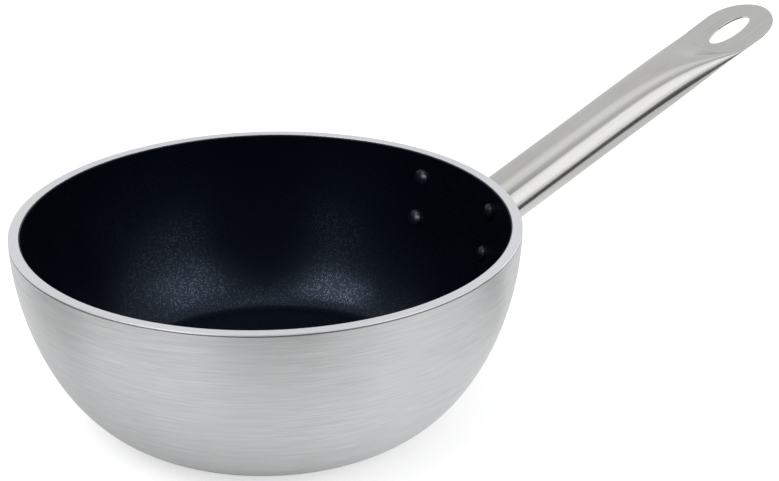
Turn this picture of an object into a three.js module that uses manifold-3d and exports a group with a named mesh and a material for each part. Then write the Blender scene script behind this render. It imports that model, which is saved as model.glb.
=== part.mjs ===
// Deep saute pan: a pressed aluminium bowl with a non-stick coating and a riveted tube handle.
// Millimetres, +Z up. The origin is the centre of the resting face, and the handle runs along +X.

import * as THREE from 'three';
import { mergeVertices } from 'three/addons/utils/BufferGeometryUtils.js';
import Module from 'manifold-3d';

// Bowl
const rimDiameter = 200; // outside, at the rim
const panHeight = 78; // resting face to rim
const baseDiameter = 124.5; // resting face, before its edge is rounded
const baseFlare = 21.5; // degrees, the wall's rise where it leaves the resting face
const lowerWallReach = 23.5; // how far the wall holds its direction above the base
const upperWallReach = 33; // how far the wall holds its direction below the rim
const wallGauge = 4;
const floorGauge = 7.5;
const baseEdgeRise = 1.2; // height that the rounded edge of the resting face takes up
const floorEdgeRise = 3; // height that the rounded corner between floor and wall takes up
const rimEdgeRound = 0.3;

// Non-stick coating
const coatingGauge = 0.4;
const coatingClearance = 0.1; // coating to bowl
const bareRimDrop = 0.5; // the coating stops this far below the rim

// Handle, measured along its axis
const tubeDiameter = 22.4;
const tubeWall = 0.6;
const handleSlope = 22; // degrees above the resting face
const handleRootDrop = 25.9; // the axis passes the rim's radius this far below the rim
const handleLength = 178.8; // from the rim's radius to the tip
const pressLength = 91; // from the round tube to the crease of the flat end
const creaseMargin = 5.4; // crease to hanging hole, on the axis
const creaseBow = 7.7; // how much nearer to the tip the crease is at the sides
const hangingHoleLength = 23.6;
const hangingHoleWidth = 11.4;
const tipMargin = 8.8; // hanging hole to tip
const rampSlope = 23.6; // degrees, the pressed faces where they run down to the crease
const foldHalfHeight = 0.8; // half the height of the side folds where the press ends
const pressOnset = 4.5; // power of the press along its length: higher presses later
const spreadOnset = 4; // the same for the widening
const foldOnset = 3.1; // the same for the folds at the sides
const roundPower = 2; // section of the round tube
const foldPower = 3.3; // section where the press ends
const flatPower = 8; // section of the flat end

// Bracket and its weld to the tube
const bracketGauge = 2;
const bracketClearance = 0.3; // bracket to bowl
const bracketEdge = 6.4; // bracket beyond the rivet centres
const bracketFoot = 3.2; // bracket below the weld
const bracketCornerRound = 6;
const weldLeg = 2.4;
const weldClearance = 0.3; // tube and weld to bracket, weld to tube

// Rivets
const rivetUpperDrop = 10.9; // upper row below the rim
const rivetRowSpacing = 18.7;
const rivetColumnSpacing = 49.4;
const rivetShankDiameter = 4.8;
const rivetHoleClearance = 0.3; // on the radius
const rivetHeadDiameter = 7.2;
const rivetHeadHeight = 2;
const rivetTailDiameter = 8.8;
const rivetTailHeight = 2.4;
const rivetSeatClearance = 0.3; // heads to coating and bracket

// Fineness of the faceted surfaces
const turnSteps = 60;
const wallSteps = 10;
const cornerSteps = 3;
const edgeSteps = 2;
const tubeSides = 28;
const pressSteps = 14;
const foldSteps = 3;
const tipSteps = 6;
const weldSteps = 40;
const bracketCornerSteps = 5;
const hangingHoleSteps = 16;
const rivetSides = 12;
const domeSteps = 3;
const bisections = 50;
const mergeTolerance = 1e-4;
const sineTolerance = 1e-9;

const wasm = await Module();
wasm.setup();

// Closed surface to solid: shared corners are merged, and triangles that shrink to a line are dropped.
function solidOf(geometry) {
  const bare = new THREE.BufferGeometry();
  bare.setAttribute('position', geometry.getAttribute('position'));
  bare.setIndex(geometry.index);
  const merged = mergeVertices(bare, mergeTolerance);
  const corners = merged.index.array;
  const kept = [];
  for (let i = 0; i < corners.length; i += 3) {
    const [a, b, c] = corners.slice(i, i + 3);
    if (a !== b && b !== c && c !== a) kept.push(a, b, c);
  }
  const surface = new wasm.Mesh({
    numProp: 3,
    vertProperties: merged.getAttribute('position').array,
    triVerts: new Uint32Array(kept),
  });
  return new wasm.Manifold(surface);
}

function geometryOf(solid) {
  const surface = solid.getMesh();
  const geometry = new THREE.BufferGeometry();
  geometry.setAttribute('position', new THREE.BufferAttribute(surface.vertProperties, 3));
  geometry.setIndex(new THREE.BufferAttribute(surface.triVerts, 1));
  return geometry;
}

function pieceOf(name, solid, finish) {
  const geometry = geometryOf(solid);
  geometry.computeVertexNormals();
  const piece = new THREE.Mesh(geometry, new THREE.MeshStandardMaterial(finish));
  piece.name = name;
  return piece;
}

// Profile of (radius, height) points turned about +Z. It runs with the material on its left.
function turned(profile, sides) {
  const geometry = new THREE.LatheGeometry(profile, sides);
  geometry.rotateX(Math.PI / 2);
  return geometry;
}

// Rings of points joined one to the next. A ring folded onto itself closes an end, and a loop joins the
// last ring to the first.
function lofted(rings, loop) {
  const sides = rings[0].length;
  const positions = rings.flat().flatMap((point) => point.toArray());
  const corners = [];
  const spans = loop ? rings.length : rings.length - 1;
  for (let ring = 0; ring < spans; ring += 1) {
    const next = (ring + 1) % rings.length;
    for (let side = 0; side < sides; side += 1) {
      const beside = (side + 1) % sides;
      const a = ring * sides + side;
      const b = ring * sides + beside;
      const c = next * sides + beside;
      const d = next * sides + side;
      corners.push(a, b, c, a, c, d);
    }
  }
  const geometry = new THREE.BufferGeometry();
  geometry.setAttribute('position', new THREE.Float32BufferAttribute(positions, 3));
  geometry.setIndex(corners);
  return geometry;
}

// Value between low and high at which a rising function reaches zero.
function rootOf(rising, low, high) {
  let below = low;
  let above = high;
  for (let i = 0; i < bisections; i += 1) {
    const middle = (below + above) / 2;
    if (rising(middle) < 0) below = middle;
    else above = middle;
  }
  return (below + above) / 2;
}

// Near zero a sine isn't exact, and a small power of it would be far from zero.
function rounded(value) {
  return Math.round(value / sineTolerance) * sineTolerance;
}

function steps(from, to, count) {
  return Array.from({ length: count + 1 }, (_, i) => THREE.MathUtils.lerp(from, to, i / count));
}

// Bowl wall: one curve of (radius, height) from the resting face to the rim, where it stands upright
const rimRadius = rimDiameter / 2;
const baseRadius = baseDiameter / 2;
const flare = THREE.MathUtils.degToRad(baseFlare);
const wallCurve = new THREE.CubicBezierCurve(
  new THREE.Vector2(baseRadius, 0),
  new THREE.Vector2(baseRadius + lowerWallReach * Math.cos(flare), lowerWallReach * Math.sin(flare)),
  new THREE.Vector2(rimRadius, panHeight - upperWallReach),
  new THREE.Vector2(rimRadius, panHeight),
);

function wallNormal(t) {
  const along = wallCurve.getTangent(t);
  return new THREE.Vector2(along.y, -along.x);
}

// Point of the outer wall moved out along its normal. Inside faces have a negative offset.
function wallPoint(t, offset) {
  return wallCurve.getPoint(t).addScaledVector(wallNormal(t), offset);
}

function wallParameter(height, offset) {
  return rootOf((t) => wallPoint(t, offset).y - height, 0, 1);
}

function wallStretch(from, to, offset) {
  return steps(from, to, wallSteps).map((t) => wallPoint(t, offset));
}

// Inside of the bowl, from the axis up to a height on the wall, at a depth over the bare metal
const floorCornerStart = wallParameter(floorGauge + floorEdgeRise, -wallGauge);

function insideProfile(depth, top) {
  const offset = -wallGauge - depth;
  const floor = floorGauge + depth;
  const cornerTop = wallPoint(floorCornerStart, offset);
  const along = wallCurve.getTangent(floorCornerStart);
  const corner = cornerTop.clone().addScaledVector(along, (floor - cornerTop.y) / along.y);
  const floorEnd = new THREE.Vector2(corner.x - corner.distanceTo(cornerTop), floor);
  const bend = new THREE.QuadraticBezierCurve(floorEnd, corner, cornerTop);
  const wall = wallStretch(floorCornerStart, wallParameter(top, offset), offset);
  return [new THREE.Vector2(0, floor), ...bend.getPoints(cornerSteps), ...wall.slice(1)];
}

function bowlSolid() {
  const outerEdge = wallParameter(baseEdgeRise, 0);
  const outerTop = wallParameter(panHeight - rimEdgeRound, 0);
  const edgeEnd = wallPoint(outerEdge, 0);
  const edgeCorner = new THREE.Vector2(baseRadius, 0);
  const edgeStart = new THREE.Vector2(baseRadius - edgeEnd.distanceTo(edgeCorner), 0);
  const outerRim = new THREE.Vector2(rimRadius, panHeight);
  const innerRim = new THREE.Vector2(rimRadius - wallGauge, panHeight);
  const inside = insideProfile(0, panHeight - rimEdgeRound).reverse();
  const outerRound = new THREE.QuadraticBezierCurve(
    wallPoint(outerTop, 0),
    outerRim,
    new THREE.Vector2(outerRim.x - rimEdgeRound, panHeight),
  );
  const innerRound = new THREE.QuadraticBezierCurve(
    new THREE.Vector2(innerRim.x + rimEdgeRound, panHeight),
    innerRim,
    inside[0],
  );
  const profile = [
    new THREE.Vector2(0, 0),
    ...new THREE.QuadraticBezierCurve(edgeStart, edgeCorner, edgeEnd).getPoints(edgeSteps),
    ...wallStretch(outerEdge, outerTop, 0).slice(1, -1),
    ...outerRound.getPoints(edgeSteps),
    ...innerRound.getPoints(edgeSteps),
    ...inside.slice(1),
  ];
  return solidOf(turned(profile, turnSteps));
}

function coatingSolid() {
  const top = panHeight - bareRimDrop;
  const back = insideProfile(coatingClearance, top);
  const face = insideProfile(coatingClearance + coatingGauge, top);
  return solidOf(turned([...back, ...face.reverse()], turnSteps));
}

// Rivets stand square to the wall, in two rows and two columns
const rivetTop = panHeight - rivetUpperDrop;
const rivetRows = { upper: rivetTop, lower: rivetTop - rivetRowSpacing };
const rivetColumns = { left: -rivetColumnSpacing / 2, right: rivetColumnSpacing / 2 };

// Local +Z leaves the bowl along the wall's normal, and local zero is the wall's outer face.
function rivetPlacement(height, sideways) {
  const t = wallParameter(height, 0);
  const at = wallPoint(t, 0);
  const normal = wallNormal(t);
  const turn = Math.asin(sideways / at.x);
  const across = new THREE.Vector3(-Math.sin(turn), Math.cos(turn), 0);
  const out = new THREE.Vector3(normal.x * Math.cos(turn), normal.x * Math.sin(turn), normal.y);
  const placement = new THREE.Matrix4().makeBasis(across, out.clone().cross(across), out);
  return placement.setPosition(at.x * Math.cos(turn), at.x * Math.sin(turn), height);
}

const rivets = Object.entries(rivetRows).flatMap(([row, height]) =>
  Object.entries(rivetColumns).map(([column, sideways]) => ({
    name: `rivet_${row}_${column}`,
    placement: rivetPlacement(height, sideways),
  })),
);

const coatingFace = wallGauge + coatingClearance + coatingGauge;
const bracketFace = bracketClearance + bracketGauge;

// Domed factory head inside the pan, shank, and upset tail on the bracket
function rivetSolid() {
  const headSeat = -coatingFace - rivetSeatClearance;
  const tailSeat = bracketFace + rivetSeatClearance;
  const head = new THREE.Path();
  head.absellipse(0, headSeat, rivetHeadDiameter / 2, rivetHeadHeight, -Math.PI / 2, 0);
  const tail = new THREE.Path();
  tail.absellipse(0, tailSeat, rivetTailDiameter / 2, rivetTailHeight, 0, Math.PI / 2);
  const profile = [
    ...head.getPoints(domeSteps),
    new THREE.Vector2(rivetShankDiameter / 2, headSeat),
    new THREE.Vector2(rivetShankDiameter / 2, tailSeat),
    ...tail.getPoints(domeSteps),
  ];
  return solidOf(turned(profile, rivetSides));
}

function withRivetHoles(solid) {
  const reach = coatingFace + bracketFace;
  const radius = rivetShankDiameter / 2 + rivetHoleClearance;
  return rivets.reduce((rest, rivet) => {
    const drill = new THREE.CylinderGeometry(radius, radius, 2 * reach, rivetSides);
    drill.rotateX(Math.PI / 2);
    drill.applyMatrix4(rivet.placement);
    return rest.subtract(solidOf(drill));
  }, solid);
}

// Handle frame: local +X along the axis, +Y across, +Z square to both, local zero at the rim's radius
const slope = THREE.MathUtils.degToRad(handleSlope);
const handle = new THREE.Group();
handle.position.set(rimRadius, 0, panHeight - handleRootDrop);
handle.rotation.y = -slope;
handle.updateMatrixWorld();

// Distance along the handle at which a line beside its axis meets the wall, moved out by an offset
function saddle(across, above, offset) {
  const pastWall = (along) => {
    const point = handle.localToWorld(new THREE.Vector3(along, across, above));
    const t = wallParameter(point.z, offset);
    return Math.hypot(point.x, point.y) - wallPoint(t, offset).x;
  };
  return rootOf(pastWall, -rimRadius, rimRadius);
}

const tubeRadius = tubeDiameter / 2;
const flatHalfWidth = (Math.PI * tubeRadius) / 2; // half of the tube's perimeter lies on each face
const crease = handleLength - tipMargin - hangingHoleLength - creaseMargin;
const pressStart = crease - pressLength;
const rampRise = Math.tan(THREE.MathUtils.degToRad(rampSlope));

// Half height that the press leaves: flat past a bowed crease, and a ramp before it
function pressHeight(along, across) {
  const bow = creaseBow * (across / flatHalfWidth) ** 2;
  return tubeWall + rampRise * Math.max(0, crease + bow - along);
}

// Section across the tube: an ellipse at the round power, and flatter with tighter folds above it.
// The press levels it above and below. A skin of zero is the outer face, and a tube wall the inner.
function tubeRing(along, halfWidth, halfHeight, power, skin) {
  return Array.from({ length: tubeSides }, (_, side) => {
    const angle = (2 * Math.PI * side) / tubeSides;
    const across = rounded(Math.cos(angle));
    const above = rounded(Math.sin(angle));
    const y = (halfWidth - skin) * Math.sign(across) * Math.abs(across) ** (2 / power);
    const unpressed = (halfHeight - skin) * Math.abs(above) ** (2 / power);
    const z = Math.sign(above) * Math.min(unpressed, pressHeight(along, y) - skin);
    return new THREE.Vector3(along, y, z);
  });
}

// Pressed stretch, from round to folded shut
function pressedRing(along, skin) {
  const share = (along - pressStart) / (pressLength + creaseBow);
  const halfWidth = THREE.MathUtils.lerp(tubeRadius, flatHalfWidth, share ** spreadOnset);
  const halfHeight = THREE.MathUtils.lerp(tubeRadius, foldHalfHeight, share ** pressOnset);
  const power = THREE.MathUtils.lerp(roundPower, foldPower, share ** foldOnset);
  return tubeRing(along, halfWidth, halfHeight, power, skin);
}

function saddleRing(skin) {
  const offset = bracketFace + weldClearance;
  const ring = tubeRing(0, tubeRadius, tubeRadius, roundPower, skin);
  return ring.map((point) => point.setX(saddle(point.y, point.z, offset)));
}

// Round tube, cut to the bracket's curve at the pan, pressed flat towards the tip, rounded off and punched.
// Its hollow closes at the crease, where the two walls meet.
function tubeSolid() {
  const press = steps(pressStart, crease, pressSteps);
  const folds = steps(crease, crease + creaseBow, foldSteps).slice(1);
  const outer = [...press, ...folds].map((along) => pressedRing(along, 0));
  const inner = press.map((along) => pressedRing(along, tubeWall));
  inner.at(-1).forEach((point) => point.setZ(0));
  const root = [saddleRing(tubeWall), saddleRing(0)];
  const tip = steps(0, Math.PI / 2, tipSteps).map((angle) => {
    const along = handleLength - flatHalfWidth * (1 - Math.sin(angle));
    return tubeRing(along, flatHalfWidth * Math.cos(angle), foldHalfHeight, flatPower, 0);
  });
  const blank = solidOf(lofted([...inner.reverse(), ...root, ...outer, ...tip], false));
  const hole = new THREE.Shape();
  const holeCentre = handleLength - tipMargin - hangingHoleLength / 2;
  hole.absellipse(holeCentre, 0, hangingHoleLength / 2, hangingHoleWidth / 2, 0, 2 * Math.PI);
  const punch = new THREE.ExtrudeGeometry(hole, {
    depth: tubeDiameter,
    bevelEnabled: false,
    curveSegments: hangingHoleSteps,
  });
  punch.translate(0, 0, -tubeRadius);
  return blank.subtract(solidOf(punch));
}

// Fillet bead round the tube's end: root, toe on the bracket, crown, toe on the tube
function weldSolid() {
  const offset = bracketFace + weldClearance;
  const rootRadius = tubeRadius + weldClearance;
  const toeRadius = rootRadius + weldLeg;
  const rings = Array.from({ length: weldSteps }, (_, step) => {
    const angle = (2 * Math.PI * step) / weldSteps;
    const place = (radius, lift) => {
      const y = radius * Math.cos(angle);
      const z = radius * Math.sin(angle);
      return new THREE.Vector3(saddle(y, z, offset) + lift, y, z);
    };
    const crown = weldLeg * Math.SQRT1_2;
    return [
      place(rootRadius, 0),
      place(rootRadius, weldLeg),
      place(rootRadius + crown, crown),
      place(toeRadius, 0),
    ];
  });
  return solidOf(lofted(rings, true));
}

// Saddle plate: a band of the wall's own curve, trimmed to a rounded rectangle seen along the handle
function bracketSolid() {
  const sideEdge = rivetColumnSpacing / 2 + bracketEdge;
  const topEdge = rivetRows.upper + bracketEdge;
  const weldFoot = new THREE.Vector3(0, 0, -tubeRadius - weldClearance - weldLeg);
  weldFoot.x = saddle(0, weldFoot.z, bracketFace);
  const bottomEdge = handle.localToWorld(weldFoot).z - bracketFoot;

  const low = wallParameter(bottomEdge - wallGauge, 0);
  const back = wallStretch(low, 1, bracketClearance);
  const face = wallStretch(low, 1, bracketFace);
  const band = solidOf(turned([...back, ...face.reverse(), back[0]].reverse(), turnSteps));

  const outline = new THREE.Shape();
  const insetAcross = sideEdge - bracketCornerRound;
  const insetUp = (topEdge - bottomEdge) / 2 - bracketCornerRound;
  const middle = (topEdge + bottomEdge) / 2;
  const corners = [[1, 1], [-1, 1], [-1, -1], [1, -1]];
  corners.forEach(([side, end], quarter) => {
    const start = (quarter * Math.PI) / 2;
    const stop = start + Math.PI / 2;
    outline.absarc(side * insetAcross, middle + end * insetUp, bracketCornerRound, start, stop);
  });
  const blank = new THREE.ExtrudeGeometry(outline, {
    depth: rimDiameter,
    bevelEnabled: false,
    curveSegments: bracketCornerSteps,
  });
  const across = new THREE.Vector3(0, 1, 0);
  const up = new THREE.Vector3(0, 0, 1);
  const along = new THREE.Vector3(1, 0, 0);
  blank.applyMatrix4(new THREE.Matrix4().makeBasis(across, up, along));
  return withRivetHoles(band.intersect(solidOf(blank)));
}

// Finishes
const aluminium = { color: 0xb9bcc0, roughness: 0.45, metalness: 1 };
const nonStick = { color: 0x0b0f16, roughness: 0.35, metalness: 0 };
const steel = { color: 0xc4c2bc, roughness: 0.3, metalness: 1 };
const weldMetal = { color: 0x9a968e, roughness: 0.5, metalness: 1 };
const rivetMetal = { color: 0xa9acaf, roughness: 0.4, metalness: 1 };

const pan = new THREE.Group();
pan.add(pieceOf('pan_body', withRivetHoles(bowlSolid()), aluminium));
pan.add(pieceOf('nonstick_coating', withRivetHoles(coatingSolid()), nonStick));
pan.add(pieceOf('handle_bracket', bracketSolid(), steel));
handle.add(pieceOf('handle_tube', tubeSolid(), steel));
handle.add(pieceOf('handle_weld', weldSolid(), weldMetal));
pan.add(handle);
for (const rivet of rivets) {
  const piece = pieceOf(rivet.name, rivetSolid(), rivetMetal);
  piece.applyMatrix4(rivet.placement);
  pan.add(piece);
}

export default pan;
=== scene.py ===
import math

import bmesh
import bpy
from mathutils import Matrix, Vector
from mathutils.geometry import interpolate_bezier


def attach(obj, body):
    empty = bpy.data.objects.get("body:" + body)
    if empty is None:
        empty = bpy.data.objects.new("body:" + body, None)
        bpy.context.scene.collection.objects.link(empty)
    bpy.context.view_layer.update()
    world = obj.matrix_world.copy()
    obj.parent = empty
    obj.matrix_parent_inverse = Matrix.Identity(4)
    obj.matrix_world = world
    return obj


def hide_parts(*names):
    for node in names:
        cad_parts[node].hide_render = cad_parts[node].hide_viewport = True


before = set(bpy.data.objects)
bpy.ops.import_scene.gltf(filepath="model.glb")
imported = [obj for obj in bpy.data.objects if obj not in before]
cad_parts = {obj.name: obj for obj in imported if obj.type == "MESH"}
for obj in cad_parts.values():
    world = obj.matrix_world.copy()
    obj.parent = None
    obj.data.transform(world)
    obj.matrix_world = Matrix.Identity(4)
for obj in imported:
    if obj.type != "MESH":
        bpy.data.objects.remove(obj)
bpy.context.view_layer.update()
mm = 0.001
mergeGap = 1e-6
bisectSteps = 48
fullTurn = 2 * math.pi
scene = bpy.context.scene
print("frame loaded,", len(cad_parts), "nodes")


# shared mesh steps

def bisect(rising, low, high):
    for step in range(bisectSteps):
        middle = (low + high) / 2
        if rising(middle) < 0:
            low = middle
        else:
            high = middle
    return (low + high) / 2


def spread(start, stop, count):
    return [start + (stop - start) * step / count for step in range(count + 1)]


def roundCorner(start, corner, end, count):  # a quadratic corner, written as a cubic
    return interpolate_bezier(start, start.lerp(corner, 2 / 3), end.lerp(corner, 2 / 3), end, count + 1)


def spinProfile(points, sides):
    bm = bmesh.new()
    verts = [bm.verts.new((point.x, 0, point.y)) for point in points]
    edges = [bm.edges.new(pair) for pair in zip(verts, verts[1:])]
    bmesh.ops.spin(
        bm, geom=verts + edges, cent=(0, 0, 0), axis=(0, 0, 1), dvec=(0, 0, 0),
        angle=fullTurn, steps=sides, use_merge=True,
    )
    return bm


def cleanUp(bm):
    bmesh.ops.remove_doubles(bm, verts=bm.verts, dist=mergeGap)
    bmesh.ops.dissolve_degenerate(bm, edges=bm.edges, dist=mergeGap)
    bmesh.ops.recalc_face_normals(bm, faces=bm.faces)


def sharpEdges(bm, angle):
    return [edge for edge in bm.edges if edge.is_manifold and edge.calc_face_angle() > angle]


def finishPiece(bm, name, node, materials, sharpAngle=math.radians(35)):
    mesh = bpy.data.meshes.new(name)
    bm.to_mesh(mesh)
    bm.free()
    for material in materials:
        mesh.materials.append(material)
    mesh.shade_smooth()
    mesh.set_sharp_from_angle(angle=sharpAngle)
    piece = bpy.data.objects.new(name, mesh)
    scene.collection.objects.link(piece)
    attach(piece, "root")
    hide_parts(node)
    print("piece", name, "with", len(mesh.polygons), "faces")
    return piece


# shared shader steps

noiseSpan = (0.3, 0.7)  # where nearly all values of a noise lie
noiseCore = (0.35, 0.65)


def addNode(tree, kind, inputs=(), **settings):
    made = tree.nodes.new("ShaderNode" + kind)
    for name, value in settings.items():
        setattr(made, name, value)
    for name, value in dict(inputs).items():
        if isinstance(value, bpy.types.NodeSocket):
            tree.links.new(value, made.inputs[name])
        else:
            made.inputs[name].default_value = value
    return made


def startMaterial(name):
    material = bpy.data.materials.new(name)
    material.use_nodes = True
    tree = material.node_tree
    tree.nodes.clear()
    shader = addNode(tree, "BsdfPrincipled")
    addNode(tree, "OutputMaterial", {"Surface": shader.outputs["BSDF"]})
    return material, tree, shader


def objectCoords(tree):
    return addNode(tree, "TexCoord").outputs["Object"]


def mathNode(tree, operation, first, second):
    return addNode(tree, "Math", {0: first, 1: second}, operation=operation).outputs[0]


def noiseNode(tree, vector, scale=1.0, detail=3.0, roughness=0.5):
    inputs = {"Vector": vector, "Scale": scale, "Detail": detail, "Roughness": roughness}
    return addNode(tree, "TexNoise", inputs).outputs["Fac"]


def rangeNode(tree, value, fromLow, fromHigh, toLow=0.0, toHigh=1.0):
    inputs = {
        "Value": value, "From Min": fromLow, "From Max": fromHigh, "To Min": toLow, "To Max": toHigh,
    }
    return addNode(tree, "MapRange", inputs).outputs["Result"]


def mixColour(tree, share, first, second):
    inputs = {0: share, 6: first, 7: second}
    return addNode(tree, "Mix", inputs, data_type="RGBA").outputs[2]


def mixLevel(tree, share, first, second):
    return addNode(tree, "Mix", {0: share, 2: first, 3: second}, data_type="FLOAT").outputs[0]


def bumpNode(tree, height, strength, distance):
    inputs = {"Height": height, "Strength": strength, "Distance": distance}
    return addNode(tree, "Bump", inputs).outputs["Normal"]


def link(tree, output, shader, name):
    tree.links.new(output, shader.inputs[name])


def makeMetal(shader):
    shader.inputs["Metallic"].default_value = 1.0


def makeMatte(shader):
    shader.inputs["Roughness"].default_value = 1.0
    shader.inputs["Specular IOR Level"].default_value = 0.0


def acrossAxis(tree, coords):  # the part square to the pan's axis, and its length
    flat = addNode(tree, "VectorMath", {0: coords, 1: (1, 1, 0)}, operation="MULTIPLY").outputs[0]
    return flat, addNode(tree, "VectorMath", {0: flat}, operation="LENGTH").outputs["Value"]


def upAxis(tree, coords):
    return addNode(tree, "SeparateXYZ", {0: coords}).outputs["Z"]


# coordinates that follow the lathe: across the streaks in z, round the pan in x and y
def turnedCoords(tree, around, across):
    coords = objectCoords(tree)
    flat, radius = acrossAxis(tree, coords)
    direction = addNode(tree, "VectorMath", {0: flat}, operation="NORMALIZE").outputs[0]
    path = mathNode(tree, "MULTIPLY", mathNode(tree, "ADD", radius, upAxis(tree, coords)), across)
    ring = addNode(tree, "VectorMath", {0: direction, "Scale": around}, operation="SCALE").outputs[0]
    stack = addNode(tree, "CombineXYZ", {"Z": path}).outputs[0]
    return addNode(tree, "VectorMath", {0: ring, 1: stack}, operation="ADD").outputs[0]


# bowl: one pressed curve from the base edge to the rim

bowl = {
    "rimRadius": 100 * mm,
    "height": 78 * mm,
    "baseRadius": 62.25 * mm,
    "baseFlare": math.radians(21.5),
    "lowerReach": 23.5 * mm,
    "upperReach": 33 * mm,
    "wall": 4 * mm,
    "floor": 7.5 * mm,
    "baseEdgeRise": 1.2 * mm,
    "floorEdgeRise": 3 * mm,
    "rimRound": 0.2 * mm,
    "lipHeight": 0.35 * mm,
    "grooveHeight": 0.6 * mm,
    "grooveDepth": 0.18 * mm,
    "sides": 256,
    "wallSteps": 56,
    "cornerSteps": 14,
    "edgeSteps": 6,
    "support": 0.6 * mm,
    "fineGrain": (6.0, 3000.0),  # round the pan, and across the streaks
    "broadGrain": (3.0, 900.0),
    "broadShare": 0.3,
    "grainDark": (0.535, 0.54, 0.545, 1),
    "grainPale": (0.715, 0.72, 0.725, 1),
    "grainRoughness": (0.51, 0.45),
    "grainBump": (0.2, 0.02 * mm),  # strength and distance
    "cloudScale": 22.0,
    "cloudShare": 0.4,
    "cloudTone": (0.64, 0.645, 0.655, 1),
    # painted shade: the groove below the rim is darkened in colour
    "grooveShadeTone": (0.16, 0.16, 0.165, 1),
    "grooveShadeShare": 0.8,
    "grooveBlur": 0.1 * mm,
    "rimTone": (0.86, 0.87, 0.90, 1),
    "rimRoughness": 0.34,
    "anisotropic": 0.75,
    "anisotropicTurn": 0.25,
}

wallKnots = (
    Vector((bowl["baseRadius"], 0)),
    Vector((
        bowl["baseRadius"] + bowl["lowerReach"] * math.cos(bowl["baseFlare"]),
        bowl["lowerReach"] * math.sin(bowl["baseFlare"]),
    )),
    Vector((bowl["rimRadius"], bowl["height"] - bowl["upperReach"])),
    Vector((bowl["rimRadius"], bowl["height"])),
)


def wallTangent(share):
    a, b, c, d = wallKnots
    rest = 1 - share
    return ((b - a) * rest**2 + (c - b) * 2 * rest * share + (d - c) * share**2).normalized()


def wallNormal(share):
    along = wallTangent(share)
    return Vector((along.y, -along.x))


def wallPoint(share, outward=0.0):  # (radius, height), share 0 at the base and 1 at the rim
    a, b, c, d = wallKnots
    rest = 1 - share
    place = a * rest**3 + b * 3 * rest**2 * share + c * 3 * rest * share**2 + d * share**3
    return place + wallNormal(share) * outward


def wallShare(height, outward=0.0):
    return bisect(lambda share: wallPoint(share, outward).y - height, 0, 1)


floorCorner = wallShare(bowl["floor"] + bowl["floorEdgeRise"], -bowl["wall"])


def insideProfile(depth, top):  # from the axis to a height on the inner wall
    outward = -bowl["wall"] - depth
    floor = bowl["floor"] + depth
    cornerTop = wallPoint(floorCorner, outward)
    along = wallTangent(floorCorner)
    corner = cornerTop + along * ((floor - cornerTop.y) / along.y)
    floorEnd = Vector((corner.x - (corner - cornerTop).length, floor))
    wallTop = wallShare(top, outward)
    bend = roundCorner(floorEnd, corner, cornerTop, bowl["cornerSteps"])
    shares = spread(floorCorner, wallTop, bowl["wallSteps"])
    flat = [Vector((0, floor)), Vector((floorEnd.x / 2, floor)), floorEnd - Vector((bowl["support"], 0))]
    return flat + bend + [wallPoint(share, outward) for share in shares[1:]]


def bowlProfile():
    edgeShare = wallShare(bowl["baseEdgeRise"])
    grooveTop = bowl["height"] - bowl["lipHeight"]
    topShare = wallShare(grooveTop - bowl["grooveHeight"])
    edgeEnd = wallPoint(edgeShare)
    edgeCorner = wallKnots[0]
    edgeStart = edgeCorner - Vector(((edgeEnd - edgeCorner).length, 0))
    rimOut = wallKnots[3]
    rimIn = rimOut - Vector((bowl["wall"], 0))
    lip = Vector((bowl["rimRound"], 0))
    inside = insideProfile(0, bowl["height"] - bowl["rimRound"])
    inside.reverse()
    support = Vector((bowl["support"], 0))
    profile = [Vector((0, 0)), edgeStart / 2, edgeStart - support]
    profile += roundCorner(edgeStart, edgeCorner, edgeEnd, bowl["edgeSteps"])
    profile += [wallPoint(share) for share in spread(edgeShare, topShare, bowl["wallSteps"])[1:]]
    grooveFoot = wallPoint(topShare)
    floorOfGroove = grooveFoot.x - bowl["grooveDepth"]
    profile.append(Vector((floorOfGroove, grooveFoot.y + bowl["grooveDepth"])))
    profile.append(Vector((floorOfGroove, grooveTop - bowl["grooveDepth"])))
    profile.append(Vector((rimOut.x, grooveTop)))
    profile += roundCorner(Vector((rimOut.x, rimOut.y - lip.x)), rimOut, rimOut - lip, bowl["edgeSteps"])
    profile += [rimOut - lip - support / 2, rimIn + lip + support / 2]
    profile += roundCorner(rimIn + lip, rimIn, inside[0], bowl["edgeSteps"])
    return profile + inside[1:]


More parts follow.
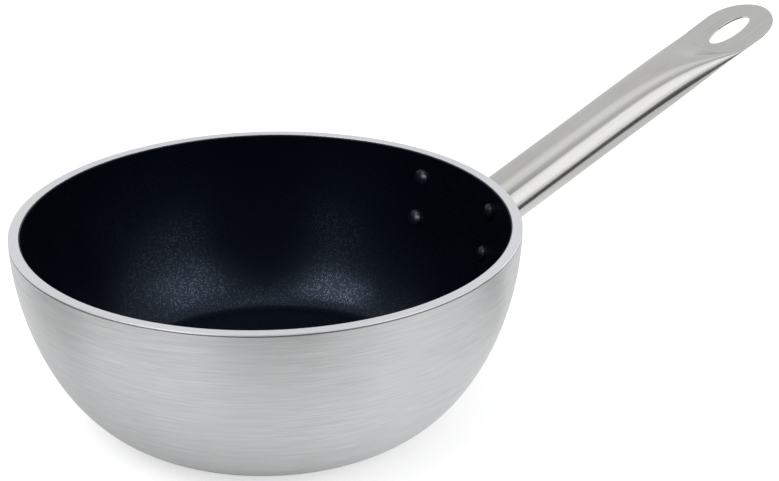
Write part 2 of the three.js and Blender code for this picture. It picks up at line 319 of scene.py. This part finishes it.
def brushedAluminium():
    material, tree, shader = startMaterial("brushedAluminium")
    coords = objectCoords(tree)
    fine = noiseNode(tree, turnedCoords(tree, *bowl["fineGrain"]), roughness=0.6)
    broad = noiseNode(tree, turnedCoords(tree, *bowl["broadGrain"]), roughness=0.6)
    cloud = noiseNode(tree, coords, scale=bowl["cloudScale"])
    streaks = mixLevel(tree, bowl["broadShare"], fine, broad)
    grainShare = rangeNode(tree, streaks, *noiseCore)
    grain = mixColour(tree, grainShare, bowl["grainDark"], bowl["grainPale"])
    cloudShare = rangeNode(tree, cloud, *noiseSpan, toHigh=bowl["cloudShare"])
    toned = mixColour(tree, cloudShare, grain, bowl["cloudTone"])
    height = upAxis(tree, coords)
    radius = acrossAxis(tree, coords)[1]
    # painted shade: a dark band in the groove below the rim, on the outside wall only
    outside = mathNode(tree, "GREATER_THAN", radius, bowl["rimRadius"] - bowl["wall"] / 2)
    grooveTop = bowl["height"] - bowl["lipHeight"]
    grooveFoot = grooveTop - bowl["grooveHeight"]
    blur = bowl["grooveBlur"]
    aboveFoot = rangeNode(tree, height, grooveFoot - blur, grooveFoot + blur, toHigh=bowl["grooveShadeShare"])
    belowTop = rangeNode(tree, height, grooveTop - blur, grooveTop, 1.0, 0.0)
    groove = mathNode(tree, "MULTIPLY", mathNode(tree, "MULTIPLY", aboveFoot, belowTop), outside)
    grooveShaded = mixColour(tree, groove, toned, bowl["grooveShadeTone"])
    rimMask = rangeNode(tree, height, grooveTop - blur / 2, grooveTop)
    link(tree, mixColour(tree, rimMask, grooveShaded, bowl["rimTone"]), shader, "Base Color")
    brushed = rangeNode(tree, streaks, *noiseSpan, *bowl["grainRoughness"])
    link(tree, mixLevel(tree, rimMask, brushed, bowl["rimRoughness"]), shader, "Roughness")
    link(tree, bumpNode(tree, fine, *bowl["grainBump"]), shader, "Normal")
    tangent = addNode(tree, "Tangent", direction_type="RADIAL", axis="Z")
    link(tree, tangent.outputs[0], shader, "Tangent")
    makeMetal(shader)
    shader.inputs["Anisotropic"].default_value = bowl["anisotropic"]
    shader.inputs["Anisotropic Rotation"].default_value = bowl["anisotropicTurn"]
    return material


bm = spinProfile(bowlProfile(), bowl["sides"])
cleanUp(bm)
body = finishPiece(bm, "bowl", "pan_body", [brushedAluminium()])


# non-stick coating: a skin on the inside wall and floor, ending just below the bare rim

coating = {
    "gauge": 0.5 * mm,
    "bury": 0.03 * mm,
    "rimDrop": 0.3 * mm,
    "feather": 0.4 * mm,
    "lipSteps": 6,
    "base": (0.0010, 0.0030, 0.0066, 1),
    "fleck": (0.043, 0.052, 0.070, 1),
    "sheenTint": (0.54, 0.70, 1.0, 1),
    "fleckRoughness": 0.22,
    "fleckReach": 0.42,
    "fleckFrom": 0.55,
    "cellScale": 1500.0,
    "peelScale": 900.0,
    "peelBump": (0.2, 0.05 * mm),
    "cloudScale": 40.0,
    "shine": 0.32,
    "smooth": 0.27,
    "rough": 0.33,
}


def coatingProfile():
    top = bowl["height"] - coating["rimDrop"]
    back = insideProfile(-coating["bury"], top)
    face = insideProfile(coating["gauge"], top - coating["feather"])
    corner = wallPoint(wallShare(top), -bowl["wall"] - coating["gauge"])
    lip = roundCorner(face[-1], corner, back[-1], coating["lipSteps"])
    back.reverse()
    return face + lip[1:-1] + back


def nonStick(name, shine, tint, smooth, rough, fleckFrom):
    material, tree, shader = startMaterial(name)
    coords = objectCoords(tree)
    cells = addNode(tree, "TexVoronoi", {"Vector": coords, "Scale": coating["cellScale"]}, feature="F1")
    pick = addNode(tree, "SeparateColor", {0: cells.outputs["Color"]}).outputs[0]
    spot = mathNode(tree, "LESS_THAN", cells.outputs["Distance"], coating["fleckReach"])
    chosen = mathNode(tree, "GREATER_THAN", pick, fleckFrom)
    flecks = mathNode(tree, "MULTIPLY", spot, chosen)
    link(tree, mixColour(tree, flecks, coating["base"], coating["fleck"]), shader, "Base Color")
    link(tree, flecks, shader, "Metallic")
    peel = noiseNode(tree, coords, scale=coating["peelScale"], detail=2.0)
    cloud = noiseNode(tree, coords, scale=coating["cloudScale"])
    ground = rangeNode(tree, cloud, *noiseSpan, smooth, rough)
    link(tree, mixLevel(tree, flecks, ground, coating["fleckRoughness"]), shader, "Roughness")
    link(tree, bumpNode(tree, peel, *coating["peelBump"]), shader, "Normal")
    shader.inputs["Specular IOR Level"].default_value = shine
    shader.inputs["Specular Tint"].default_value = tint
    return material


coatingFinish = nonStick(
    "nonStick", coating["shine"], coating["sheenTint"],
    coating["smooth"], coating["rough"], coating["fleckFrom"],
)
bm = spinProfile(coatingProfile(), bowl["sides"])
cleanUp(bm)
skin = finishPiece(bm, "coating", "nonstick_coating", [coatingFinish])


# handle: round tube, pressed flat towards its end, rounded off and punched

handle = {
    "radius": 11.2 * mm,
    "gauge": 0.6 * mm,
    "slope": math.radians(22),
    "rootDrop": 25.9 * mm,
    "length": 178.8 * mm,
    "pressLength": 91 * mm,
    "creaseMargin": 5.4 * mm,
    "creaseBow": 7.7 * mm,
    "holeLength": 23.6 * mm,
    "holeWidth": 11.4 * mm,
    "tipMargin": 8.8 * mm,
    "ramp": math.radians(23.6),
    "rampRound": 0.3,
    "foldHalfHeight": 0.8 * mm,
    "pressOnset": 4.5,
    "spreadOnset": 4,
    "foldOnset": 3.1,
    "roundPower": 2,
    "foldPower": 3.3,
    "flatPower": 5,
    "rootOutward": 1.3 * mm,  # the tube's end sits inside the saddle plate
    "sides": 192,
    "straightSteps": 8,
    "pressSteps": 150,
    "flatSteps": 12,
    "tipSteps": 28,
    "holeSides": 96,
    "holeBevel": 0.08 * mm,
    "bevelSteps": 2,
    "holeEdgeAngle": math.radians(60),
    "flatFrom": 2 * mm,
    "flatTolerance": 0.01 * mm,
    "flatAngle": math.radians(1),
    "sharpAngle": math.radians(28),
    "steel": (0.62, 0.615, 0.60),
    "smooth": 0.14,
    "rough": 0.20,
    "lineScale": (35, 1600, 1600),  # along the handle, then across it
    "lineBump": (0.08, 0.01 * mm),
    "cloudScale": 60.0,
    "cloudShare": 0.4,
    "toneSpan": (0.94, 1.04),
}
handle["crease"] = handle["length"] - handle["tipMargin"] - handle["holeLength"] - handle["creaseMargin"]
handle["pressStart"] = handle["crease"] - handle["pressLength"]
handle["flatHalfWidth"] = math.pi * handle["radius"] / 2  # half of the perimeter lies on each face

handlePlace = Matrix.Translation((bowl["rimRadius"], 0, bowl["height"] - handle["rootDrop"]))
handlePlace = handlePlace @ Matrix.Rotation(-handle["slope"], 4, "Y")


def saddleReach(across, above, outward):  # where a line beside the handle's axis meets the wall
    def pastWall(along):
        point = handlePlace @ Vector((along, across, above))
        share = wallShare(point.z, outward)
        return point.xy.length - wallPoint(share, outward).x
    return bisect(pastWall, -bowl["rimRadius"], bowl["rimRadius"])


def pressHeight(along, across):  # flat past a bowed crease, and a ramp before it
    bow = handle["creaseBow"] * (across / handle["flatHalfWidth"]) ** 2
    rise = math.tan(handle["ramp"]) * max(0, handle["crease"] + bow - along)
    return handle["gauge"] + rise


def sectionPoint(turn, along, halfWidth, halfHeight, power):
    across = math.cos(turn)
    above = math.sin(turn)
    reach = (abs(across) ** power + abs(above) ** power) ** (-1 / power)
    across *= halfWidth * reach
    full = halfHeight * reach * abs(above)
    level = pressHeight(along, across)
    soft = handle["rampRound"] * level
    near = max(soft - abs(full - level), 0) / soft
    pressed = min(full, level) - near**2 * soft / 4
    return across, math.copysign(pressed, above)


def blend(first, second, share):
    return first + (second - first) * share


def handleStations():  # (distance along, half width, half height, section power)
    radius = handle["radius"]
    flatHalfWidth = handle["flatHalfWidth"]
    fold = handle["foldHalfHeight"]
    pressEnd = handle["crease"] + handle["creaseBow"]
    stations = []
    for share in spread(0, 1, handle["pressSteps"]):
        halfWidth = blend(radius, flatHalfWidth, share ** handle["spreadOnset"])
        halfHeight = blend(radius, fold, share ** handle["pressOnset"])
        power = blend(handle["roundPower"], handle["foldPower"], share ** handle["foldOnset"])
        stations.append((blend(handle["pressStart"], pressEnd, share), halfWidth, halfHeight, power))
    tipStart = handle["length"] - flatHalfWidth
    for share in spread(0, 1, handle["flatSteps"])[1:]:
        power = blend(handle["foldPower"], handle["flatPower"], share)
        stations.append((blend(pressEnd, tipStart, share), flatHalfWidth, fold, power))
    for turn in spread(0, math.pi / 2, handle["tipSteps"])[1:]:
        along = tipStart + flatHalfWidth * math.sin(turn)
        stations.append((along, flatHalfWidth * max(math.cos(turn), 0), fold, handle["flatPower"]))
    return stations


def handleMesh():
    stations = handleStations()
    rings = handle["straightSteps"] + len(stations) - 1
    bm = bmesh.new()
    bmesh.ops.create_grid(bm, x_segments=rings, y_segments=handle["sides"], size=1)
    reach = {}
    for vert in bm.verts:
        ring = round((vert.co.x + 1) / 2 * rings)
        side = round((vert.co.y + 1) / 2 * handle["sides"]) % handle["sides"]
        turn = fullTurn * side / handle["sides"]
        if ring < handle["straightSteps"]:
            across, above = sectionPoint(turn, 0, handle["radius"], handle["radius"], handle["roundPower"])
            if side not in reach:
                reach[side] = saddleReach(across, above, handle["rootOutward"])
            share = ring / handle["straightSteps"]
            along = reach[side] + (handle["pressStart"] - reach[side]) * share
        else:
            along, halfWidth, halfHeight, power = stations[ring - handle["straightSteps"]]
            across, above = sectionPoint(turn, along, halfWidth, halfHeight, power)
        vert.co = (along, across, above)
    cleanUp(bm)
    bmesh.ops.holes_fill(bm, edges=[edge for edge in bm.edges if edge.is_boundary], sides=0)
    bmesh.ops.recalc_face_normals(bm, faces=bm.faces)
    return bm


def holePunch():
    bm = bmesh.new()
    bmesh.ops.create_circle(bm, cap_ends=True, radius=1, segments=handle["holeSides"])
    bmesh.ops.scale(bm, vec=(handle["holeLength"] / 2, handle["holeWidth"] / 2, 1), verts=bm.verts)
    centre = handle["length"] - handle["tipMargin"] - handle["holeLength"] / 2
    bmesh.ops.translate(bm, vec=(centre, 0, -handle["radius"]), verts=bm.verts)
    raised = bmesh.ops.extrude_face_region(bm, geom=bm.faces[:])["geom"]
    top = [item for item in raised if isinstance(item, bmesh.types.BMVert)]
    bmesh.ops.translate(bm, vec=(0, 0, 2 * handle["radius"]), verts=top)
    bmesh.ops.recalc_face_normals(bm, faces=bm.faces)
    return bm


def looseObject(bm, name):
    mesh = bpy.data.meshes.new(name)
    bm.to_mesh(mesh)
    bm.free()
    loose = bpy.data.objects.new(name, mesh)
    scene.collection.objects.link(loose)
    return loose


def punched(blank, punch):
    blankObject = looseObject(blank, "handleBlank")
    punchObject = looseObject(punch, "holePunch")
    cut = blankObject.modifiers.new("hole", "BOOLEAN")
    cut.operation = "DIFFERENCE"
    cut.solver = "EXACT"
    cut.object = punchObject
    result = blankObject.evaluated_get(bpy.context.evaluated_depsgraph_get())
    bm = bmesh.new()
    bm.from_mesh(result.to_mesh())
    for loose in (blankObject, punchObject):
        bpy.data.objects.remove(loose)
    return bm


def satinSteel(name, base, smooth, rough):
    material, tree, shader = startMaterial(name)
    coords = objectCoords(tree)
    turnBack = addNode(
        tree, "Mapping", {"Vector": coords, "Rotation": (0, handle["slope"], 0)}, vector_type="POINT",
    ).outputs[0]
    lengthwise = addNode(
        tree, "VectorMath", {0: turnBack, 1: handle["lineScale"]}, operation="MULTIPLY",
    ).outputs[0]
    lines = noiseNode(tree, lengthwise, roughness=0.6)
    cloud = noiseNode(tree, coords, scale=handle["cloudScale"])
    tone = mixLevel(tree, handle["cloudShare"], lines, cloud)
    dark, pale = [tuple(level * part for part in base) + (1,) for level in handle["toneSpan"]]
    toneShare = rangeNode(tree, tone, *noiseCore)
    link(tree, mixColour(tree, toneShare, dark, pale), shader, "Base Color")
    link(tree, rangeNode(tree, tone, *noiseSpan, smooth, rough), shader, "Roughness")
    link(tree, bumpNode(tree, lines, *handle["lineBump"]), shader, "Normal")
    makeMetal(shader)
    return material


bm = punched(handleMesh(), holePunch())
cleanUp(bm)
flatVerts = [
    vert for vert in bm.verts
    if vert.co.x > handle["crease"] + handle["flatFrom"]
    and abs(abs(vert.co.z) - handle["gauge"]) < handle["flatTolerance"]
]
flatEdges = [edge for edge in bm.edges if edge.verts[0] in flatVerts and edge.verts[1] in flatVerts]
bmesh.ops.dissolve_limit(bm, angle_limit=handle["flatAngle"], verts=flatVerts, edges=flatEdges)
holeEdges = [
    edge for edge in sharpEdges(bm, handle["holeEdgeAngle"])
    if all(vert.co.x > handle["crease"] for vert in edge.verts)
]
bmesh.ops.bevel(
    bm, geom=holeEdges, offset=handle["holeBevel"], offset_type="OFFSET",
    segments=handle["bevelSteps"], profile=0.5, affect="EDGES", material=-1, clamp_overlap=True,
)
bmesh.ops.transform(bm, matrix=handlePlace, verts=bm.verts)
handleFinish = satinSteel("satinSteel", handle["steel"], handle["smooth"], handle["rough"])
finishPiece(bm, "handle", "handle_tube", [handleFinish], handle["sharpAngle"])


# saddle plate: follows the wall's curve behind the handle

plate = {
    "width": 62.2 * mm,
    "top": 73.5 * mm,
    "bottom": 31.44 * mm,
    "cornerRound": 6 * mm,
    "back": 0.1 * mm,
    "gauge": 2.2 * mm,
    "edgeRound": 0.5 * mm,
    "edgeSteps": 3,
    "edgeAngle": math.radians(60),
    "acrossSteps": 44,
    "upSteps": 32,
    "cornerCuts": 8,
    "steel": (0.58, 0.575, 0.565),
    "smooth": 0.24,
    "rough": 0.32,
}


def plateMesh():
    bm = bmesh.new()
    halfWidth = plate["width"] / 2
    halfHeight = (plate["top"] - plate["bottom"]) / 2
    bmesh.ops.create_grid(bm, x_segments=plate["acrossSteps"], y_segments=plate["upSteps"], size=1)
    bmesh.ops.scale(bm, vec=(halfWidth, halfHeight, 1), verts=bm.verts)
    radius = plate["cornerRound"]
    for side in (-1, 1):
        for end in (-1, 1):
            centre = Vector((side * (halfWidth - radius), end * (halfHeight - radius), 0))
            for turn in spread(0, math.pi / 2, plate["cornerCuts"])[1:-1]:
                normal = Vector((side * math.cos(turn), end * math.sin(turn), 0))
                bmesh.ops.bisect_plane(
                    bm, geom=bm.verts[:] + bm.edges[:] + bm.faces[:], dist=mergeGap,
                    plane_co=centre + normal * radius, plane_no=normal, clear_outer=True,
                )
    middle = (plate["top"] + plate["bottom"]) / 2
    for vert in bm.verts:
        across = vert.co.x
        height = middle + vert.co.y
        reach = wallPoint(wallShare(height, plate["back"]), plate["back"]).x
        vert.co = (math.sqrt(reach**2 - across**2), across, height)
    bmesh.ops.recalc_face_normals(bm, faces=bm.faces)
    bm.faces.ensure_lookup_table()
    if bm.faces[0].normal.x < 0:
        bmesh.ops.reverse_faces(bm, faces=bm.faces)
    bmesh.ops.solidify(bm, geom=bm.faces[:], thickness=-plate["gauge"])
    cleanUp(bm)
    bmesh.ops.bevel(
        bm, geom=sharpEdges(bm, plate["edgeAngle"]), offset=plate["edgeRound"], offset_type="OFFSET",
        segments=plate["edgeSteps"], profile=0.5, affect="EDGES", material=-1, clamp_overlap=True,
    )
    return bm


plateFinish = satinSteel("plateSteel", plate["steel"], plate["smooth"], plate["rough"])
finishPiece(plateMesh(), "saddlePlate", "handle_bracket", [plateFinish])


# weld bead: laid round the tube's end in overlapping ripples

bead = {
    "outward": 2.3 * mm,
    "size": 1.75 * mm,
    "lift": 0.55 * mm,
    "ripples": 44,
    "rippleDepth": 0.16 * mm,
    "rippleMean": 0.6,
    "rippleLag": 0.9,  # bends each ripple across the bead
    "rippleTurn": math.pi / 4,
    "aroundSteps": 352,
    "sectionSteps": 20,
    "metalDark": (0.40, 0.39, 0.375, 1),
    "metalPale": (0.56, 0.55, 0.53, 1),
    "heatTint": (0.46, 0.39, 0.28, 1),
    "heatScale": 130.0,
    "heatFrom": (0.45, 0.75),
    "heatShare": 0.5,
    "crustScale": 420.0,
    "crustBump": (0.2, 0.04 * mm),
    "roughness": (0.34, 0.5),
    "sharpAngle": math.radians(60),
}


def beadMesh():
    bm = bmesh.new()
    bmesh.ops.create_grid(bm, x_segments=bead["aroundSteps"], y_segments=bead["sectionSteps"], size=1)
    reach = {}
    for vert in bm.verts:
        step = round((vert.co.x + 1) / 2 * bead["aroundSteps"]) % bead["aroundSteps"]
        part = round((vert.co.y + 1) / 2 * bead["sectionSteps"]) % bead["sectionSteps"]
        turn = fullTurn * step / bead["aroundSteps"]
        curl = fullTurn * part / bead["sectionSteps"]
        middle = handle["radius"] + bead["lift"]
        if step not in reach:
            across = middle * math.cos(turn)
            above = middle * math.sin(turn)
            reach[step] = saddleReach(across, above, bead["outward"])
        lag = bead["rippleLag"] * math.cos(curl - bead["rippleTurn"])
        crest = abs(math.sin(bead["ripples"] * turn / 2 + lag))
        size = bead["size"] + bead["rippleDepth"] * (crest - bead["rippleMean"])
        radius = middle + size * math.cos(curl)
        along = reach[step] + bead["lift"] + size * math.sin(curl)
        vert.co = handlePlace @ Vector((along, radius * math.cos(turn), radius * math.sin(turn)))
    cleanUp(bm)
    return bm


def weldMetal():
    material, tree, shader = startMaterial("weldMetal")
    coords = objectCoords(tree)
    crust = noiseNode(tree, coords, scale=bead["crustScale"], detail=4.0, roughness=0.6)
    heat = noiseNode(tree, coords, scale=bead["heatScale"], detail=2.0)
    metal = mixColour(tree, rangeNode(tree, crust, *noiseSpan), bead["metalDark"], bead["metalPale"])
    heatShare = rangeNode(tree, heat, *bead["heatFrom"], toHigh=bead["heatShare"])
    link(tree, mixColour(tree, heatShare, metal, bead["heatTint"]), shader, "Base Color")
    link(tree, rangeNode(tree, crust, *noiseSpan, *bead["roughness"]), shader, "Roughness")
    link(tree, bumpNode(tree, crust, *bead["crustBump"]), shader, "Normal")
    makeMetal(shader)
    return material


finishPiece(beadMesh(), "weldBead", "handle_weld", [weldMetal()], bead["sharpAngle"])


# rivets: coated heads inside the pan, bare upset tails on the saddle plate

rivet = {
    "upperDrop": 10.9 * mm,
    "rowSpacing": 18.7 * mm,
    "columnSpacing": 49.4 * mm,
    "shank": 4.8 * mm,
    "headWidth": 7.2 * mm,
    "headHeight": 2.3 * mm,
    "headSeat": -4.5 * mm,
    "tailWidth": 8.8 * mm,
    "tailHeight": 2.7 * mm,
    "tailSeat": 2.3 * mm,
    "bury": 0.2 * mm,
    "sides": 40,
    "domeSteps": 12,
    "domePower": 0.9,
    "headShine": 0.40,
    "headTint": (1, 1, 1, 1),
    "headSmooth": 0.28,
    "headRough": 0.34,
    "headFleckFrom": 0.92,
    "tailDark": (0.52, 0.525, 0.53, 1),
    "tailPale": (0.68, 0.685, 0.69, 1),
    "tailRoughness": (0.32, 0.46),
    "dentScale": 300.0,
    "dentBump": (0.25, 0.06 * mm),
}


def rivetPlace(height, across):  # local z leaves the bowl along the wall's normal
    share = wallShare(height)
    at = wallPoint(share)
    normal = wallNormal(share)
    turn = math.asin(across / at.x)
    side = Vector((-math.sin(turn), math.cos(turn), 0))
    out = Vector((normal.x * math.cos(turn), normal.x * math.sin(turn), normal.y))
    turned = Matrix((side, out.cross(side), out)).transposed().to_4x4()
    return Matrix.Translation((at.x * math.cos(turn), at.x * math.sin(turn), height)) @ turned


def dome(width, height, seat, way):
    turns = spread(0, math.pi / 2, rivet["domeSteps"])
    return [
        Vector((width / 2 * math.sin(turn), seat + way * height * math.cos(turn) ** rivet["domePower"]))
        for turn in turns
    ]


def rivetMesh():
    head = dome(rivet["headWidth"], rivet["headHeight"], rivet["headSeat"], -1)
    tail = dome(rivet["tailWidth"], rivet["tailHeight"], rivet["tailSeat"], 1)
    tail.reverse()
    shank = rivet["shank"] / 2
    headFoot = rivet["headSeat"] + rivet["bury"]
    tailFoot = rivet["tailSeat"] - rivet["bury"]
    profile = head + [Vector((head[-1].x, headFoot)), Vector((shank, headFoot))]
    profile += [Vector((shank, tailFoot)), Vector((tail[0].x, tailFoot))] + tail
    bm = spinProfile(profile, rivet["sides"])
    cleanUp(bm)
    for face in bm.faces:
        face.material_index = 0 if face.calc_center_median().z < headFoot else 1
    return bm


def rivetMetal():
    material, tree, shader = startMaterial("rivetMetal")
    coords = objectCoords(tree)
    dents = noiseNode(tree, coords, scale=rivet["dentScale"])
    tone = mixColour(tree, rangeNode(tree, dents, *noiseSpan), rivet["tailDark"], rivet["tailPale"])
    link(tree, tone, shader, "Base Color")
    link(tree, rangeNode(tree, dents, *noiseSpan, *rivet["tailRoughness"]), shader, "Roughness")
    link(tree, bumpNode(tree, dents, *rivet["dentBump"]), shader, "Normal")
    makeMetal(shader)
    return material


headFinish = nonStick(
    "nonStickHead", rivet["headShine"], rivet["headTint"],
    rivet["headSmooth"], rivet["headRough"], rivet["headFleckFrom"],
)
rivetFinish = rivetMetal()
rows = {"upper": bowl["height"] - rivet["upperDrop"]}
rows["lower"] = rows["upper"] - rivet["rowSpacing"]
columns = {"left": -rivet["columnSpacing"] / 2, "right": rivet["columnSpacing"] / 2}
farRivets = []
for row, height in rows.items():
    for column, across in columns.items():
        bm = rivetMesh()
        bmesh.ops.transform(bm, matrix=rivetPlace(height, across), verts=bm.verts)
        place = row + "_" + column
        piece = finishPiece(bm, "rivet." + place, "rivet_" + place, [headFinish, rivetFinish])
        if across > 0:
            farRivets.append(piece)


# floor and studio

studio = {
    "floorSize": 6.0,
    "floorDrop": 0.05 * mm,
    "floorTones": ((0.815, 0.815, 0.815, 1), (0.82, 0.82, 0.82, 1)),
    "floorGrain": 30.0,
    "floorLift": 0.5,  # for the camera only, the shines for mirrors only
    "floorShine": 0.11,
    "ringShine": 0.30,
    "ringCentre": (-25 * mm, 20 * mm, 0),
    "ringInside": (80 * mm, 120 * mm),
    "ringOutside": (190 * mm, 260 * mm),
    "farShine": 0.35,
    "farFrom": (400 * mm, 520 * mm),
    "ambient": 0.76,
    "backLevel": 0.74,
    "topLevel": 1.0,
    "topToward": (0.05, -0.25, 0.97),
    "topCone": (22, 8),  # degrees, from where it starts to where it is full
    "gapLevel": 0.05,
    "gapToward": (-0.40, -0.80, 0.45),
    "gapCone": (40, 24),
    "sideLevel": 0.12,
    "sideToward": (-0.93, 0.25, 0.26),
    "sideCone": (42, 14),
    "lampAim": (0.05, 0, 0.06),
    "flagLift": 2 * mm,
    "flagWeave": 400.0,
    "flagThin": 0.8,
}


def floorMaterial():
    material, tree, shader = startMaterial("floorPaper")
    grain = noiseNode(tree, objectCoords(tree), scale=studio["floorGrain"], detail=2.0)
    paper = mixColour(tree, rangeNode(tree, grain, *noiseSpan), *studio["floorTones"])
    link(tree, paper, shader, "Base Color")
    makeMatte(shader)
    shader.inputs["Emission Color"].default_value = (1, 1, 1, 1)
    path = addNode(tree, "LightPath").outputs
    mirrored = mathNode(tree, "MAXIMUM", path["Is Glossy Ray"], path["Is Transmission Ray"])
    lift = mathNode(tree, "MULTIPLY", path["Is Camera Ray"], studio["floorLift"])
    away = addNode(
        tree, "VectorMath", {0: objectCoords(tree), 1: studio["ringCentre"]}, operation="DISTANCE",
    ).outputs["Value"]
    ring = rangeNode(tree, away, *studio["ringInside"], toHigh=studio["ringShine"])
    ring = mathNode(tree, "MULTIPLY", ring, rangeNode(tree, away, *studio["ringOutside"], 1.0, 0.0))
    far = rangeNode(tree, away, *studio["farFrom"], studio["floorShine"], studio["farShine"])
    shine = mathNode(tree, "MULTIPLY", mirrored, mathNode(tree, "ADD", ring, far))
    link(tree, mathNode(tree, "ADD", lift, shine), shader, "Emission Strength")
    return material


bm = bmesh.new()
bmesh.ops.create_grid(bm, x_segments=1, y_segments=1, size=studio["floorSize"] / 2)
bmesh.ops.translate(bm, vec=(0, 0, -studio["floorDrop"]), verts=bm.verts)
floor = looseObject(bm, "floor")
floor.data.materials.append(floorMaterial())


def cone(tree, direction, toward, wide, narrow):  # 1 inside the narrow angle, 0 outside the wide one
    aim = tuple(Vector(toward).normalized())
    facing = addNode(tree, "VectorMath", {0: direction, 1: aim}, operation="DOT_PRODUCT").outputs["Value"]
    return rangeNode(tree, facing, math.cos(math.radians(wide)), math.cos(math.radians(narrow)))


# white for the camera, one level for soft light, and levels by direction for mirrors
def makeWorld():
    world = bpy.data.worlds.new("studio")
    scene.world = world
    world.use_nodes = True
    tree = world.node_tree
    tree.nodes.clear()
    direction = addNode(tree, "TexCoord").outputs["Generated"]
    path = addNode(tree, "LightPath").outputs
    top = cone(tree, direction, studio["topToward"], *studio["topCone"])
    gap = cone(tree, direction, studio["gapToward"], *studio["gapCone"])
    side = cone(tree, direction, studio["sideToward"], *studio["sideCone"])
    level = mixLevel(tree, top, studio["backLevel"], studio["topLevel"])
    level = mixLevel(tree, side, level, studio["sideLevel"])
    level = mixLevel(tree, gap, level, studio["gapLevel"])
    level = mixLevel(tree, path["Is Diffuse Ray"], level, studio["ambient"])
    level = mixLevel(tree, path["Is Camera Ray"], level, 1.0)
    grey = addNode(tree, "CombineColor", {0: level, 1: level, 2: level}).outputs[0]
    background = addNode(tree, "Background", {"Color": grey, "Strength": 1.0})
    addNode(tree, "OutputWorld", {"Surface": background.outputs[0]})


makeWorld()


def softbox(name, azimuth, elevation, distance, width, height, level, linked=(), state="INCLUDE"):
    target = Vector(studio["lampAim"])
    turn = math.radians(azimuth)
    lift = math.radians(elevation)
    toward = Vector((math.cos(lift) * math.cos(turn), math.cos(lift) * math.sin(turn), math.sin(lift)))
    lamp = bpy.data.lights.new(name, "AREA")
    lamp.shape = "RECTANGLE"
    lamp.size = width
    lamp.size_y = height
    lamp.energy = level * math.pi * width * height
    lampObject = bpy.data.objects.new(name, lamp)
    scene.collection.objects.link(lampObject)
    lampObject.location = target + toward * distance
    lampObject.rotation_euler = (-toward).to_track_quat("-Z", "Y").to_euler()
    lampObject.visible_camera = False
    if linked:
        receivers = bpy.data.collections.new(name + "Receivers")
        for piece in linked:
            receivers.objects.link(piece)
        for entry in receivers.collection_objects:
            entry.light_linking.link_state = state
        lampObject.light_linking.receiver_collection = receivers


# the fill leaves out the coating, and three lamps light only the pieces linked to them
softbox(
    "fillRight", azimuth=-66, elevation=14.5, distance=1.3, width=0.55, height=1.05, level=0.63,
    linked=[skin], state="EXCLUDE",
)
softbox(
    "keyRight", azimuth=-64, elevation=45, distance=1.3, width=0.8, height=0.55, level=1.5, linked=[skin],
)
softbox("keyLeft", azimuth=182, elevation=51, distance=1.3, width=0.65, height=0.5, level=3.0)
softbox(
    "bowlRight", azimuth=0, elevation=12, distance=1.2, width=0.7, height=0.6, level=0.9, linked=[body],
)
softbox(
    "rivetGlint", azimuth=-138, elevation=18, distance=1.0, width=1.4, height=0.6, level=6.5,
    linked=farRivets,
)


# dark cards just above the floor, seen in reflections only: painted shade for the metal to reflect

flags = {  # corners in millimetres
    "sideFlag": {
        "level": 0.1,
        "corners": ((150, -55), (345, -112), (560, -190), (640, -360), (400, -260), (190, -135)),
    },
    "frontFlag": {
        "level": 0.3,
        "corners": ((-190, -166), (-325, -295), (-105, -427), (-56, -246)),
    },
    "leftFlag": {
        "level": 0.5,
        "corners": ((-170, 30), (-360, 60), (-330, 280), (-150, 180)),
    },
}


def flagMaterial(name, level):
    material, tree, shader = startMaterial(name)
    weave = noiseNode(tree, objectCoords(tree), scale=studio["flagWeave"], detail=2.0)
    thin = studio["flagThin"] * level
    # the card's grey is painted shade, seen only in reflections
    reflectedShade = mixColour(tree, weave, (thin, thin, thin, 1), (level, level, level, 1))
    link(tree, reflectedShade, shader, "Base Color")
    makeMatte(shader)
    return material


for flagName, card in flags.items():
    bm = bmesh.new()
    bm.faces.new([bm.verts.new((x * mm, y * mm, studio["flagLift"])) for x, y in card["corners"]])
    bmesh.ops.recalc_face_normals(bm, faces=bm.faces)
    flag = looseObject(bm, flagName)
    flag.data.materials.append(flagMaterial(flagName + "Cloth", card["level"]))
    flag.visible_camera = False
    flag.visible_diffuse = False
    flag.visible_shadow = False
    flag.visible_transmission = False
print("studio lit")


# camera, solved from the photograph's frame of 779 by 481

view = {
    "place": (-345.15 * mm, -578.38 * mm, 365.79 * mm),
    "pitch": math.radians(23.8),
    "turn": math.radians(34.91),
    "lens": 86.2,
    "sensor": 36,
    "clipStart": 10 * mm,
}
camera = bpy.data.cameras.new("photoView")
camera.lens = view["lens"]
camera.sensor_width = view["sensor"]
camera.clip_start = view["clipStart"]
cameraObject = bpy.data.objects.new("photoView", camera)
scene.collection.objects.link(cameraObject)
cameraObject.location = view["place"]
cameraObject.rotation_euler = (math.pi / 2 - view["pitch"], 0, -view["turn"])
scene.camera = cameraObject
scene.view_settings.view_transform = "Standard"
